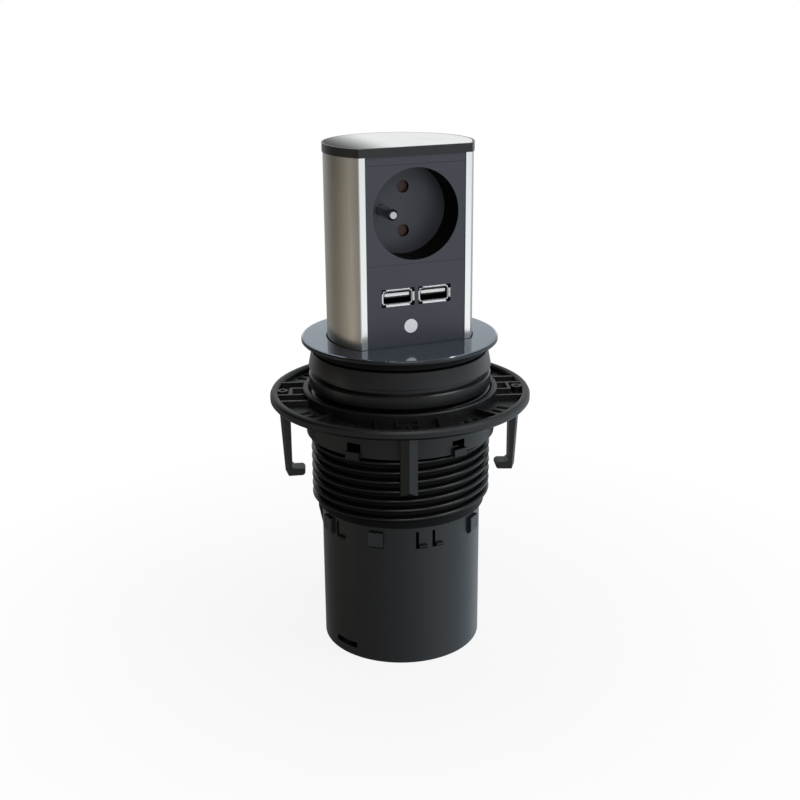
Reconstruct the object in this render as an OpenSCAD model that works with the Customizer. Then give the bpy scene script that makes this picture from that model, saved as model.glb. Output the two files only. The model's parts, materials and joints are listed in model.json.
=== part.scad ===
// In-desk power module: a socket tower that slides up out of a threaded desk sleeve

/* [Tower] */

// radius of the round side of the tower
tower_r = 32.4; // [31:0.2:33.2]
// distance from the tower's axis to its flat face
face_d = 20.1; // [18.6:0.1:20.8]
// height the tower stands above the desk ring
tower_out = 85.2; // [82:0.2:92]
// wall thickness of the aluminium profile
wall_t = 1.6; // [1.2:0.1:2]
// width of each bright lip beside the face
lip_w = 2.6; // [2:0.1:3]
// height of the black cap rim
cap_h = 3.7; // [3:0.1:5]
// amount the cap overhangs the profile
cap_over = 0.35; // [0.1:0.05:0.5]
// thickness of the steel plate set in the cap
plate_t = 0.8; // [0.5:0.1:1]
// black border left round the steel plate
plate_inset = 0.9; // [0.6:0.1:2]
// height of the plain strip under the cap
strip_h = 3.5; // [2.5:0.1:5]
// depth the face parts sit behind the lips
face_sink = 0.3; // [0.1:0.1:0.6]
// thickness of the face plates
panel_t = 2.7; // [2:0.1:3]
// radius of the screw ports inside the profile
port_r = 2.9; // [2.6:0.1:3.4]

/* [Socket] */

// height of the socket module
socket_h = 42; // [41:0.5:44]
// radius of the plug recess
recess_r = 19.5; // [19:0.1:19.8]
// depth of the plug recess
recess_depth = 15; // [13:0.5:15.5]
// radius of the two pin holes
pin_hole_r = 2.7; // [2.5:0.1:3]
// distance between the two pin holes
pin_pitch = 19; // [18.4:0.1:19.4]
// distance from the earth pin to the middle of the recess
earth_offset = 10; // [9:0.1:11]
// radius of the earth pin
earth_r = 2.4; // [2:0.1:2.4]
// travel of the shutter behind the pin holes
shutter_travel = 6; // [5.8:0.1:6.4]

/* [Charging ports] */

// distance between the two ports
port_pitch = 16.9; // [16.4:0.1:18]
// height of the ports above the desk ring
port_z = 21.8; // [18:0.2:25]
// inside width of a port
port_w = 12.5; // [12.4:0.1:12.6]
// inside height of a port
port_h = 5.12; // [5.1:0.02:5.2]
// sheet thickness of a port shell
shell_t = 0.35; // [0.3:0.05:0.4]
// reach of the flared lips at a port mouth
flare = 0.85; // [0.6:0.05:1]
// width of the circuit board
board_w = 38; // [34:1:40]
// height of the circuit board
board_h = 32; // [30:1:34]

/* [Desk ring and sleeve] */

// reach of the glossy desk ring past its neck
ring_over = 4.6; // [3.6:0.1:8]
// thickness of the desk ring at its edge
ring_t = 2.2; // [1.8:0.1:3]
// amount the neck stands out past the sleeve's root
neck_over = 0.8; // [0:0.1:1.4]
// gap round the tower in the desk ring
tower_gap = 0.5; // [0.3:0.05:0.6]
// height of the sleeve under the desk ring
sleeve_h = 70.8; // [68:0.2:80]
// wall thickness of the guide skirt inside the sleeve
guide_wall = 1.92; // [1.7:0.02:2.4]
// wall thickness of the sleeve between the thread turns
sleeve_wall = 3.7; // [3.4:0.1:4.2]
// height of the thread's ridges
thread_depth = 2.4; // [2:0.1:2.6]
// rise of the thread in one turn
thread_pitch = 4.4; // [4.2:0.1:4.8]
// height of the plain band above the thread
band_h = 7.8; // [6:0.2:12]
// depth the ring's guide skirt reaches into the sleeve
guide_h = 20.6; // [18:0.2:24]

/* [Ring nut] */

// reach of the nut's flange past its hub
nut_reach = 16; // [15:0.2:20]
// width of the rounded rim
rim_w = 3.6; // [3:0.1:4.5]
// height of the rim
rim_h = 4.4; // [3.6:0.1:6]
// thickness of the nut's floor
floor_t = 1.5; // [1.2:0.1:2]
// distance from the desk ring's top to the nut's rim
nut_drop = 25.3; // [22:0.2:30]
// length of the hub below the rim
hub_h = 14.6; // [12:0.2:18]
// gap between the hub and the thread crests
nut_gap = 0.3; // [0.2:0.05:0.4]
// length of the two long hooks below the rim
hook_long = 36; // [28:0.5:38]
// length of the two short hooks below the rim
hook_short = 27.3; // [22:0.5:30]
// width of a hook's bar
hook_w = 7.3; // [6:0.1:8]
// thickness of a hook's bar
hook_t = 5.2; // [4.4:0.1:5.6]
// reach of a hook's toe past its bar
toe_reach = 6; // [5:0.1:6.6]
// distance of the stiffening ribs from a hook's middle line
rib_offset = 13.5; // [12.5:0.1:15]

/* [Lower tube] */

// height of the lower tube below the sleeve
tube_h = 68; // [64:0.5:76]
// wall thickness of the lower tube
tube_wall = 1.8; // [1.6:0.1:1.9]
// length of the tube's end inside the sleeve
spigot_h = 7; // [5:0.5:9]
// height of the raised pads at the tube's top
pad_h = 8; // [6:0.5:10]
// amount the pads stand out of the tube
pad_out = 1.5; // [1:0.1:2]
// radius of the cable hole in the end cap
outlet_r = 5.5; // [4.5:0.1:6.5]

/* [Hidden] */

$fn = 96;

fit = 0.1;
slide_fit = 0.08;
press_fit = 0.05;
eps = 0.01;

// radii from the tower outwards
guide_r = tower_r + tower_gap + guide_wall;
sleeve_bore = guide_r + slide_fit;
root_r = sleeve_bore + sleeve_wall;
thread_r = root_r + thread_depth;
neck_r = root_r + neck_over;
ring_r = neck_r + ring_over;
tube_in = sleeve_bore;
tube_r = tube_in + tube_wall;

// heights, measured from the bottom of the tube
sleeve_low = tube_h;
sleeve_top = sleeve_low + sleeve_h;
neck_step = 2.2;
groove_r = root_r - 1.5;
neck_h = 3.2;
neck_low = sleeve_top + neck_step;
ring_low = neck_low + neck_h;
ring_top = ring_low + ring_t;
tower_top = ring_top + tower_out;
cap_low = tower_top - cap_h;
strip_low = cap_low - strip_h;
socket_low = strip_low - socket_h;
socket_z = strip_low - socket_h / 2;
guide_low = sleeve_top - guide_h;
foot_t = 4;
tower_low = guide_low - fit - foot_t;
profile_low = tower_low + foot_t;
usb_z = ring_top + port_z;
board_z = usb_z - 3.5;

// face and profile
half_chord = sqrt(tower_r * tower_r - face_d * face_d);
panel_half = half_chord - lip_w;
panel_y = face_sink;
lip_d = 6;
ledge_w = 4.8;
ledge_t = 1.5;
ledge_lap = 1.2;
port_sink = 0.4;
port_ring_r = tower_r - wall_t - port_r + port_sink;
port_angles = [38, 142, -14, 194];
screw_r = 1.3;
screw_hole_r = 1.4;
screw_slip = 0.2;
head_r = 2.5;
head_h = 1.3;
cap_screw_len = 9;
foot_screw_len = 11;

// cap and foot
skirt_d = 12;
skirt_wall = 1.9;
cap_skirt_h = strip_h - 0.6;
foot_skirt_h = 5;
foot_floor_t = 1.5;
cable_y = 14;

// rubber pads that brake the tower
brake_angles = [10, 82, 154];
brake_span = 16;
brake_gap = 0.1;
brake_sink = 0.9;
brake_up = 3;
brake_h = 14;
front_wall = 1.8;
front_hollow_w = 44;

// parts behind the socket's face
cup_wall = 1.6;
cup_floor = 1.8;
base_from = recess_depth + cup_floor;
base_depth = 13;
base_w = 36;
chamber_depth = 2.4;
window_x = 1.5;
window_w = 25;
window_h = 28;
shutter_t = 1.8;
shutter_w = 13.4;
shutter_h = 8.4;
web_w = 4.2;
pin_sink = 2.2;
pin_tip_h = 1.2;
pin_tip_cut = 0.9;
tail_w = 7;
tail_h = 12;
tail_t = 1.2;
tail_len = 6;
contact_leaf = 0.8;
contact_inner = 4.4;
contact_h = 6;
contact_len = 8;
chamber_w = contact_inner + 2 * contact_leaf + 0.2;

// charging ports
shell_len = 12;
board_from = face_sink + shell_len + 0.3;
board_t = 1.6;
tongue_t = 1.84;
post_dx = board_w / 2 - 3;
post_dz = board_h / 2 - 3;
post_r = 2.4;
core_w = 16;
core_d = 13;
core_h = 14;
cap_len = 14;
cap_r = 4.5;

// terminal block
block_w = 24;
block_d = 12;
block_h = 14;
block_y = -8;
pole_pitch = 8;
pole_r = 2.2;
pole_h = 6;
wire_r = 1.8;

// thread
seg = 48;
ridge_top = 0.9;
ridge_base = 2.2;
flank = (ridge_base - ridge_top) / 2;
thread_low = sleeve_low + 0.6;
thread_room = sleeve_top - band_h - 0.8 - thread_low;
turns = floor(thread_room / thread_pitch + 0.01) - 1;
rows = 4 * turns + 1;
row_up = [0, flank, flank + ridge_top, ridge_base];
row_r = [root_r, thread_r, thread_r, root_r];
barrel_high = sleeve_top - band_h;

// ring nut
rim_top = ring_top - nut_drop;
rim_low = rim_top - rim_h;
hub_low = rim_low - hub_h;
hub_in = thread_r + nut_gap;
hub_wall = 1.6;
hub_out = hub_in + hub_wall;
nut_r = hub_out + nut_reach;
collar_out = hub_out + 1.1;
collar_top = rim_top + 1.8;
hook_angles = [-18, 72, 162, 252];
hook_mid = nut_r - rim_w - hook_t / 2;
hook_lean = 3.3;
hook_ridge = 1.6;
toe_t = 3.9;
toe_r = 1.7;
rib_t = 1.4;
rib_x = 4.6;
rib_len = nut_reach + hub_wall + 8;
cross_r = hub_out + 7.3;
boss_r = 2.4;
boss_hole_r = 1.15;
boss_x = -1.2;
boss_out = 0.6;
hook_window_w = 6.6;
hook_window_d = 3.4;
hook_window_r = collar_out + 0.6;
rim_window_w = 3.2;
rim_window_d = 6.5;
rim_window_in = 1.6;
rim_window_angles = [-30, 30, 36, 54];
latch_w = 6.6;
latch_h = 3.3;
latch_low = hub_low - 0.9;
latch_out = 1.8;
latch_window_h = 3.6;
latch_angle = 32;
latch_sides = [-18, 162];
tooth_w = 5.9;
tooth_h = 1.1;
tooth_in = 1.5;

// lower tube and its end cap
tube_top = tube_h + spigot_h;
stop_out = 0.7;
stop_h = 1.1;
pad_w = 6.8;
pad_drop = 3;
pad_ramp = 1.4;
pad_low = tube_h - pad_drop - pad_h;
pad_angles = [-84, -39.5, 39.5];
slit_angles = [-69, -6.5, 5.5];
foot_w = 3.8;
foot_h = 1.8;
slit_w = 1.4;
slit_h = 8.2;
lug_angle = -114;
lug_w = 3.2;
lug_h = 14;
lug_out = 1.8;
lug_flat = 5;
slot_z = 4;
slot_h = 2.8;
slot_w = 13;
slot_angles = [-66.5, 113.5];
cap_lug_w = 5.2;
cap_lug_sink = 0.5;
cap_floor_t = 2.4;
cap_wall = 1.65;
end_cap_h = 9;
bush_wall = 1.15;
bush_hole = 1.6;

// round shape with one flat side, the tower's cross-section
module d_shape(r, d) {
  intersection() {
    circle(r = r);
    translate([-r - 1, -d])
      square([2 * r + 2, r + d + 1]);
  }
}

// puts a flat shape behind the face: from is the depth where it starts
module into_face(x, z, from, depth) {
  translate([x, -face_d + from + depth, z])
    rotate([90, 0, 0])
      linear_extrude(height = depth)
        children();
}

module centred(w, h) {
  translate([-w / 2, -h / 2])
    square([w, h]);
}

// turns a piece built on the face's side to an angle round the axis
module at_angle(a) {
  rotate([0, 0, a])
    children();
}

module at_ports() {
  for (a = port_angles)
    translate([port_ring_r * cos(a), port_ring_r * sin(a), 0])
      children();
}

// Tower

module cap_plate() {
  color([0.78, 0.78, 0.77])
    translate([0, 0, tower_top - plate_t])
      linear_extrude(height = plate_t)
        d_shape(tower_r + cap_over - plate_inset - fit, face_d + cap_over - plate_inset - fit);
}

// skirt that fits inside the profile and clears its screw ports
module inner_skirt(wall_r) {
  difference() {
    d_shape(wall_r, skirt_d);
    d_shape(wall_r - skirt_wall, skirt_d - skirt_wall);
    for (a = port_angles)
      translate([port_ring_r * cos(a), port_ring_r * sin(a)])
        circle(r = port_r + 0.4);
  }
}

module top_cap() {
  color([0.05, 0.05, 0.05])
    difference() {
      union() {
        translate([0, 0, cap_low])
          linear_extrude(height = cap_h)
            d_shape(tower_r + cap_over, face_d + cap_over);
        translate([0, 0, cap_low - cap_skirt_h])
          linear_extrude(height = cap_skirt_h + eps)
            inner_skirt(tower_r - wall_t - fit);
      }
      translate([0, 0, tower_top - plate_t])
        linear_extrude(height = plate_t + 1)
          d_shape(tower_r + cap_over - plate_inset, face_d + cap_over - plate_inset);
      at_ports() {
        translate([0, 0, cap_low - 1])
          cylinder(r = screw_r + screw_slip, h = cap_h + 1);
        translate([0, 0, tower_top - plate_t - head_h - fit])
          cylinder(r = head_r + screw_slip, h = head_h + 1);
      }
    }
}

module cap_screws() {
  color([0.6, 0.6, 0.6])
    at_ports() {
      translate([0, 0, tower_top - plate_t - head_h - fit])
        cylinder(r = head_r, h = head_h);
      translate([0, 0, cap_low - cap_screw_len])
        cylinder(r = screw_r, h = cap_h + cap_screw_len - plate_t - head_h);
    }
}

module profile_section() {
  difference() {
    union() {
      difference() {
        d_shape(tower_r, face_d);
        circle(r = tower_r - wall_t);
      }
      intersection() {
        d_shape(tower_r, face_d);
        for (s = [-1, 1])
          translate([s * (half_chord - lip_w / 2) - lip_w / 2, -face_d])
            square([lip_w, lip_d]);
      }
      intersection() {
        circle(r = tower_r - wall_t + eps);
        for (s = [-1, 1])
          translate([s * (panel_half + ledge_lap) - ledge_w / 2, -face_d + panel_y + panel_t])
            square([ledge_w, ledge_t]);
      }
      for (a = port_angles)
        translate([port_ring_r * cos(a), port_ring_r * sin(a)])
          circle(r = port_r);
    }
    for (a = port_angles)
      translate([port_ring_r * cos(a), port_ring_r * sin(a)])
        circle(r = screw_hole_r);
  }
}

module profile() {
  color([0.72, 0.71, 0.68])
    translate([0, 0, profile_low])
      linear_extrude(height = cap_low - profile_low)
        profile_section();
}

module head_strip() {
  color([0.09, 0.095, 0.1])
    into_face(0, strip_low + strip_h / 2, panel_y, panel_t)
      centred(2 * panel_half - 2 * fit, strip_h - fit);
}

// Socket

module socket_front() {
  color([0.08, 0.085, 0.09])
    difference() {
      union() {
        into_face(0, socket_z, panel_y, panel_t)
          centred(2 * panel_half - 2 * fit, socket_h - fit);
        into_face(0, socket_z, panel_y + 1, base_from - panel_y - 1)
          circle(r = recess_r + cup_wall);
      }
      into_face(0, socket_z, -1, recess_depth + 1)
        circle(r = recess_r);
      for (s = [-1, 1])
        into_face(0, socket_z + s * pin_pitch / 2, recess_depth - 1, cup_floor + 2)
          circle(r = pin_hole_r);
      into_face(-earth_offset, socket_z, recess_depth - 1, cup_floor + 2)
        circle(r = earth_r + fit);
    }
}

module socket_base() {
  color([0.16, 0.16, 0.17])
    difference() {
      into_face(0, socket_z, base_from, base_depth)
        centred(base_w, base_w);
      into_face(window_x, socket_z, base_from - 1, chamber_depth + 1)
        centred(window_w, window_h);
      for (s = [-1, 1]) {
        into_face(0, socket_z + s * pin_pitch / 2, base_from + 1, contact_len + chamber_depth)
          centred(chamber_w, contact_h + 0.4);
        into_face(0, socket_z + s * pin_pitch / 2, base_from + 1, base_depth)
          centred(2.4, 3.4);
      }
      into_face(-earth_offset, socket_z, base_from - 1, base_depth + 2)
        circle(r = earth_r + fit);
    }
}

module contact(s) {
  back = base_from + 1 + contact_len + chamber_depth;
  into_face(0, socket_z + s * pin_pitch / 2, back - 0.8, 0.8)
    centred(contact_inner + 2 * contact_leaf, contact_h);
  for (k = [-1, 1])
    into_face(
      k * (contact_inner + contact_leaf) / 2, socket_z + s * pin_pitch / 2,
      back - contact_len, contact_len
    )
      centred(contact_leaf, contact_h);
  into_face(0, socket_z + s * pin_pitch / 2, back - eps, tail_len)
    centred(2.2, 3.2);
}

module contact_line() {
  color([0.8, 0.65, 0.3])
    contact(1);
}

module contact_neutral() {
  color([0.8, 0.65, 0.3])
    contact(-1);
}

module earth_pin() {
  color([0.8, 0.78, 0.72]) {
    into_face(-earth_offset, socket_z, pin_sink, base_from + base_depth - pin_sink)
      circle(r = earth_r);
    translate([-earth_offset, -face_d + pin_sink, socket_z])
      rotate([90, 0, 0])
        cylinder(r1 = earth_r, r2 = earth_r - pin_tip_cut, h = pin_tip_h);
    into_face(-earth_offset, socket_z, base_from + base_depth, tail_t)
      centred(tail_w, tail_h);
  }
}

// plate with two windows: sliding it sideways brings them behind the pin holes
module shutter() {
  color([0.35, 0.13, 0.08])
    difference() {
      union() {
        for (s = [-1, 1])
          into_face(-2.6, socket_z + s * pin_pitch / 2, base_from + fit, shutter_t)
            centred(shutter_w, shutter_h);
        into_face(2, socket_z, base_from + fit, shutter_t)
          centred(web_w, pin_pitch);
      }
      for (s = [-1, 1])
        into_face(-shutter_travel, socket_z + s * pin_pitch / 2, base_from - 1, shutter_t + 2)
          circle(r = pin_hole_r);
    }
}

// bent leaf that pushes the shutter back
module shutter_spring() {
  color([0.7, 0.7, 0.72])
    translate([4.15, -face_d + base_from + 0.4, socket_z])
      linear_extrude(height = 1.6, center = true)
        polygon([
          [0, 0], [0.3, 0], [2.6, 1.15], [4.9, 0], [7.2, 1.15], [9.4, 0], [9.8, 0],
          [9.8, 0.35], [9.45, 0.35], [7.2, 1.5], [4.9, 0.35], [2.6, 1.5], [0.3, 0.35], [0, 0.35]
        ]);
}

// Charging ports

module usb_panel() {
  color([0.08, 0.085, 0.09])
    difference() {
      union() {
        into_face(0, (socket_low + profile_low) / 2, panel_y, panel_t)
          centred(2 * panel_half - 2 * fit, socket_low - profile_low - fit);
        for (x = [-1, 1], z = [-1, 1])
          into_face(x * post_dx, board_z + z * post_dz, panel_y + 1, board_from - panel_y - 1)
            circle(r = post_r);
      }
      for (s = [-1, 1]) {
        into_face(s * port_pitch / 2, usb_z, -1, panel_t + 4)
          centred(port_w + 2 * shell_t + 0.2, port_h + 2 * shell_t + 0.2);
        into_face(s * port_pitch / 2, usb_z, -1, 1 + face_sink + flare + 0.15)
          centred(port_w + 2 * shell_t + 2 * flare + 0.3, port_h + 2 * shell_t + 2 * flare + 0.3);
      }
      for (x = [-1, 1], z = [-1, 1])
        into_face(x * post_dx, board_z + z * post_dz, board_from - 6, 7)
          circle(r = 1);
    }
}

// sheet shell with four lips flared out at its mouth
module usb_shell(s) {
  lip_x = port_w - 1.6;
  lip_z = port_h - 1.2;
  out_w = port_w + 2 * shell_t;
  out_h = port_h + 2 * shell_t;
  color([0.8, 0.8, 0.8])
    translate([s * port_pitch / 2, -face_d + face_sink, usb_z]) {
      translate([0, shell_len, 0])
        rotate([90, 0, 0])
          linear_extrude(height = shell_len - flare)
            difference() {
              centred(out_w, out_h);
              centred(port_w, port_h);
            }
      for (k = [0, 180])
        rotate([0, k, 0]) {
          rotate([90, 0, 90])
            linear_extrude(height = lip_x, center = true)
              polygon([
                [flare + 0.4, port_h / 2], [flare, port_h / 2], [0, port_h / 2 + flare],
                [0, port_h / 2 + flare + shell_t], [flare, port_h / 2 + shell_t],
                [flare + 0.4, port_h / 2 + shell_t]
              ]);
          linear_extrude(height = lip_z, center = true)
            polygon([
              [port_w / 2, flare + 0.4], [port_w / 2, flare], [port_w / 2 + flare, 0],
              [port_w / 2 + flare + shell_t, 0], [port_w / 2 + shell_t, flare],
              [port_w / 2 + shell_t, flare + 0.4]
            ]);
        }
    }
}

module usb_shell_left() {
  usb_shell(-1);
}

module usb_shell_right() {
  usb_shell(1);
}

module usb_tongue(s) {
  color([0.85, 0.85, 0.85]) {
    into_face(s * port_pitch / 2, usb_z + 0.75, face_sink + 1.6, shell_len - 1.7)
      centred(port_w - 1.2, tongue_t);
    into_face(s * port_pitch / 2, usb_z, face_sink + shell_len - 3, 3.3)
      centred(port_w - 0.1, port_h - 0.1);
  }
}

module usb_tongue_left() {
  usb_tongue(-1);
}

module usb_tongue_right() {
  usb_tongue(1);
}

module usb_board() {
  color([0.05, 0.3, 0.15])
    difference() {
      into_face(0, board_z, board_from, board_t)
        centred(board_w, board_h);
      for (x = [-1, 1], z = [-1, 1])
        into_face(x * post_dx, board_z + z * post_dz, board_from - 1, board_t + 2)
          circle(r = 1.1);
    }
}

module transformer() {
  from = board_from + board_t;
  color([0.75, 0.65, 0.15])
    into_face(-5, board_z + 2, from, core_d - 4)
      centred(core_w - 5, core_h);
  color([0.2, 0.2, 0.2])
    for (k = [-1, 1])
      into_face(-5 + k * (core_w / 2 - 1.25), board_z + 2, from, core_d)
        centred(2.5 + 2 * eps, core_h - 2);
  color([0.2, 0.2, 0.2])
    into_face(-5, board_z + 2, from + core_d - 4, 4)
      centred(core_w, core_h - 2);
}

module capacitor() {
  color([0.1, 0.12, 0.3])
    into_face(12, board_z - 1, board_from + board_t, cap_len)
      circle(r = cap_r);
}

module board_screws() {
  color([0.6, 0.6, 0.6])
    for (x = [-1, 1], z = [-1, 1]) {
      into_face(x * post_dx, board_z + z * post_dz, board_from + board_t, 1.3)
        circle(r = 1.9);
      into_face(x * post_dx, board_z + z * post_dz, board_from - 5, 5 + board_t + eps)
        circle(r = 0.9);
    }
}

// Foot of the tower and the supply terminals

module tower_foot() {
  inside_r = tower_r - wall_t - fit;
  color([0.06, 0.06, 0.06])
    difference() {
      union() {
        translate([0, 0, tower_low])
          cylinder(r = sleeve_bore - 0.4, h = foot_t);
        translate([0, 0, profile_low])
          linear_extrude(height = foot_skirt_h)
            difference() {
              d_shape(inside_r, skirt_d);
              for (a = port_angles)
                translate([port_ring_r * cos(a), port_ring_r * sin(a)])
                  circle(r = port_r + 0.4);
            }
      }
      translate([0, 0, profile_low + foot_floor_t])
        linear_extrude(height = foot_skirt_h)
          difference() {
            d_shape(inside_r - skirt_wall, skirt_d - skirt_wall);
            for (a = port_angles)
              translate([port_ring_r * cos(a), port_ring_r * sin(a)])
                circle(r = port_r + skirt_wall);
          }
      translate([0, cable_y, tower_low - 1])
        cylinder(r = outlet_r, h = foot_t + foot_skirt_h + 2);
      at_ports() {
        translate([0, 0, tower_low - 1])
          cylinder(r = screw_r + screw_slip, h = foot_t + 2);
        translate([0, 0, tower_low - 1])
          cylinder(r = head_r + screw_slip, h = head_h + fit + 1);
      }
    }
}

module foot_screws() {
  color([0.6, 0.6, 0.6])
    at_ports() {
      translate([0, 0, tower_low + fit])
        cylinder(r = head_r, h = head_h);
      translate([0, 0, tower_low + head_h])
        cylinder(r = screw_r, h = foot_screw_len);
    }
}

module terminal_block() {
  color([0.85, 0.85, 0.82])
    difference() {
      translate([-block_w / 2, block_y, profile_low + foot_floor_t])
        cube([block_w, block_d, block_h]);
      for (k = [-1 : 1])
        translate([k * pole_pitch, block_y + block_d / 2, profile_low + foot_floor_t]) {
          translate([0, 0, block_h - pole_h])
            cylinder(r = pole_r, h = pole_h + 1);
          translate([0, -block_d / 2 - 1, block_h / 2 - 3])
            rotate([-90, 0, 0])
              cylinder(r = wire_r, h = block_d + 2);
        }
    }
}

module terminal_screws() {
  color([0.7, 0.7, 0.7])
    for (k = [-1 : 1])
      translate([k * pole_pitch, block_y + block_d / 2, profile_low + foot_floor_t + block_h - pole_h])
        difference() {
          cylinder(r = pole_r - fit, h = 4);
          translate([-3, -0.4, 3])
            cube([6, 0.8, 2]);
        }
}

// Desk ring and sleeve

// blocks bent to the tower's round side, also cut out as their own seats
module brake_blocks(from_r, to_r) {
  for (a = brake_angles)
    translate([0, 0, guide_low + brake_up])
      rotate([0, 0, a])
        rotate_extrude(angle = brake_span)
          translate([from_r, 0])
            square([to_r - from_r, brake_h]);
}

module guide_pads() {
  color([0.1, 0.1, 0.1])
    brake_blocks(tower_r + brake_gap, tower_r + tower_gap + brake_sink);
}

module desk_ring() {
  color([0.03, 0.03, 0.035])
    difference() {
      union() {
        rotate_extrude()
          polygon([
            [0, sleeve_top], [groove_r, sleeve_top], [groove_r, neck_low], [neck_r, neck_low],
            [neck_r, ring_low], [ring_r - 0.5, ring_low], [ring_r, ring_low + 0.5], [ring_r, ring_top - 0.7],
            [ring_r - 0.25, ring_top - 0.2], [ring_r - 0.9, ring_top], [0, ring_top]
          ]);
        translate([0, 0, guide_low])
          cylinder(r = guide_r, h = guide_h + 1);
      }
      translate([0, 0, guide_low - 1])
        linear_extrude(height = ring_top - guide_low + 2)
          d_shape(tower_r + tower_gap, face_d + tower_gap);
      translate([0, 0, guide_low - 1])
        linear_extrude(height = ring_low - guide_low - 1)
          intersection() {
            circle(r = guide_r - front_wall);
            translate([-front_hollow_w / 2, -ring_r])
              square([front_hollow_w, ring_r - face_d - tower_gap - front_wall]);
          }
      brake_blocks(tower_r - 1, tower_r + tower_gap + brake_sink);
    }
}

function thread_point(j, k) = [
  row_r[k % 4] * cos(360 * j / seg),
  row_r[k % 4] * sin(360 * j / seg),
  thread_low + thread_pitch * (floor(k / 4) + j / seg) + row_up[k % 4]
];
function ring_point(j, z) = [root_r * cos(360 * j / seg), root_r * sin(360 * j / seg), z];
function at(j, k) = j < seg ? j * rows + k : (k + 4 < rows ? k + 4 : seg * rows + k + 4 - rows);
function low_at(j) = seg * rows + 4 + j % seg;
function high_at(j) = seg * rows + 4 + seg + j % seg;
function fan(v) = [for (i = [1 : len(v) - 2]) [v[0], v[i], v[i + 1]]];

// barrel with its right-hand thread: rows of points climb one pitch in a turn and join the row above
module threaded_barrel() {
  points = concat(
    [for (j = [0 : seg - 1], k = [0 : rows - 1]) thread_point(j, k)],
    [for (k = [0 : 3]) thread_point(0, rows + k)],
    [for (j = [0 : seg - 1]) ring_point(j, sleeve_low)],
    [for (j = [0 : seg - 1]) ring_point(j, barrel_high)]
  );
  last = rows - 1;
  faces = concat(
    [for (j = [0 : seg - 1], k = [0 : rows - 2])
      if (k % 2 == 1) [at(j, k), at(j, k + 1), at(j + 1, k + 1), at(j + 1, k)]],
    [for (j = [0 : seg - 1], k = [0 : rows - 2]) if (k % 2 == 0) [at(j, k), at(j, k + 1), at(j + 1, k + 1)]],
    [for (j = [0 : seg - 1], k = [0 : rows - 2]) if (k % 2 == 0) [at(j, k), at(j + 1, k + 1), at(j + 1, k)]],
    [for (j = [0 : seg - 2]) [low_at(j), at(j, 0), at(j + 1, 0), low_at(j + 1)]],
    fan([low_at(seg - 1), at(seg - 1, 0), at(0, 4), at(0, 3), at(0, 0), low_at(0)]),
    [[at(0, 0), at(0, 3), at(0, 2), at(0, 1)]],
    [for (j = [1 : seg - 2]) [at(j, last), high_at(j), high_at(j + 1), at(j + 1, last)]],
    fan([high_at(1), at(1, last), at(0, last), at(seg, last - 1), at(seg, last), high_at(0)]),
    [[at(seg - 1, last), high_at(seg - 1), high_at(0), at(seg, last)]],
    [[at(0, last), at(seg, last - 3), at(seg, last - 2), at(seg, last - 1)]],
    [[for (j = [0 : seg - 1]) low_at(j)]],
    [[for (j = [seg - 1 : -1 : 0]) high_at(j)]]
  );
  polyhedron(points = points, faces = faces, convexity = 4);
}

module sleeve() {
  color([0.04, 0.04, 0.042])
    union() {
      difference() {
        threaded_barrel();
        translate([0, 0, sleeve_low - 1])
          cylinder(r = sleeve_bore, h = sleeve_h + 2);
        translate([0, 0, sleeve_low - 1])
          cylinder(r = tube_r + press_fit, h = spigot_h + 1);
      }
      rotate_extrude()
        polygon([
          [sleeve_bore, barrel_high], [root_r - 0.2, barrel_high], [root_r - 0.2, barrel_high + 0.9],
          [thread_r + 0.1, barrel_high + 0.9], [thread_r + 0.1, barrel_high + 1.5],
          [neck_r + 0.4, sleeve_top], [sleeve_bore, sleeve_top]
        ]);
    }
}

// Ring nut

// angle from the face's side to the angle that the thread counts from
function valley_z(a) = thread_low + ridge_base / 2 + thread_pitch * (0.5 + (a + 270) / 360);
function tooth_z(a) = valley_z(a) + thread_pitch * ceil((hub_low + tooth_h / 2 - valley_z(a)) / thread_pitch);

// bar with a ridge down its outer side, leaning in to a toe with a rounded tip
module hook(len) {
  low = rim_low - len;
  drop = len * tan(hook_lean);
  inner = hook_t / 2;
  tip = inner + toe_reach - toe_r;
  intersection() {
    translate([-hook_w / 2, -hook_mid, 0])
      rotate([90, 0, 90])
        linear_extrude(height = hook_w)
          union() {
            polygon([
              [-inner - 1, rim_low + 1], [-inner - 1, low + 6], [drop - inner, low + 1.6],
              [drop - inner + 1.4, low],
              [tip, low + 0.2], [tip, low + 0.2 + 2 * toe_r], [inner + 1, low + toe_t - 0.4],
              [inner, low + toe_t + 0.5], [inner, rim_low + 1]
            ]);
            translate([tip, low + 0.2 + toe_r])
              circle(r = toe_r);
          }
    translate([0, -hook_mid, rim_low])
      rotate([hook_lean, 0, 0])
        translate([0, 0, -len - 2])
          linear_extrude(height = len + 4)
            polygon([
              [-hook_w / 2, hook_ridge - inner], [0, -inner], [hook_w / 2, hook_ridge - inner],
              [hook_w / 2, inner + toe_reach + 4], [-hook_w / 2, inner + toe_reach + 4]
            ]);
  }
}

module nut_ribs() {
  top = rim_top - 0.6;
  wall_r = nut_r - rim_w / 2;
  intersection() {
    difference() {
      translate([0, 0, rim_low])
        cylinder(r = wall_r, h = top - rim_low);
      translate([0, 0, rim_low - 1])
        cylinder(r = hub_in + 0.5, h = rim_h + 2);
    }
    union()
      for (a = hook_angles)
        at_angle(a) {
          for (x = [-rib_offset, rib_offset, rib_x])
            translate([x - rib_t / 2, -nut_r, rim_low])
              cube([rib_t, rib_len, rim_h]);
          translate([-rib_x - rib_t / 2, -cross_r, rim_low])
            cube([rib_t, cross_r - hub_in + 8, rim_h]);
          translate([-rib_x, -cross_r, rim_low])
            cube([2 * rib_x, rib_t, rim_h]);
          at_angle(45)
            translate([-rib_t / 2, -nut_r, rim_low])
              cube([rib_t, rib_len, rim_h]);
        }
  }
}

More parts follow.
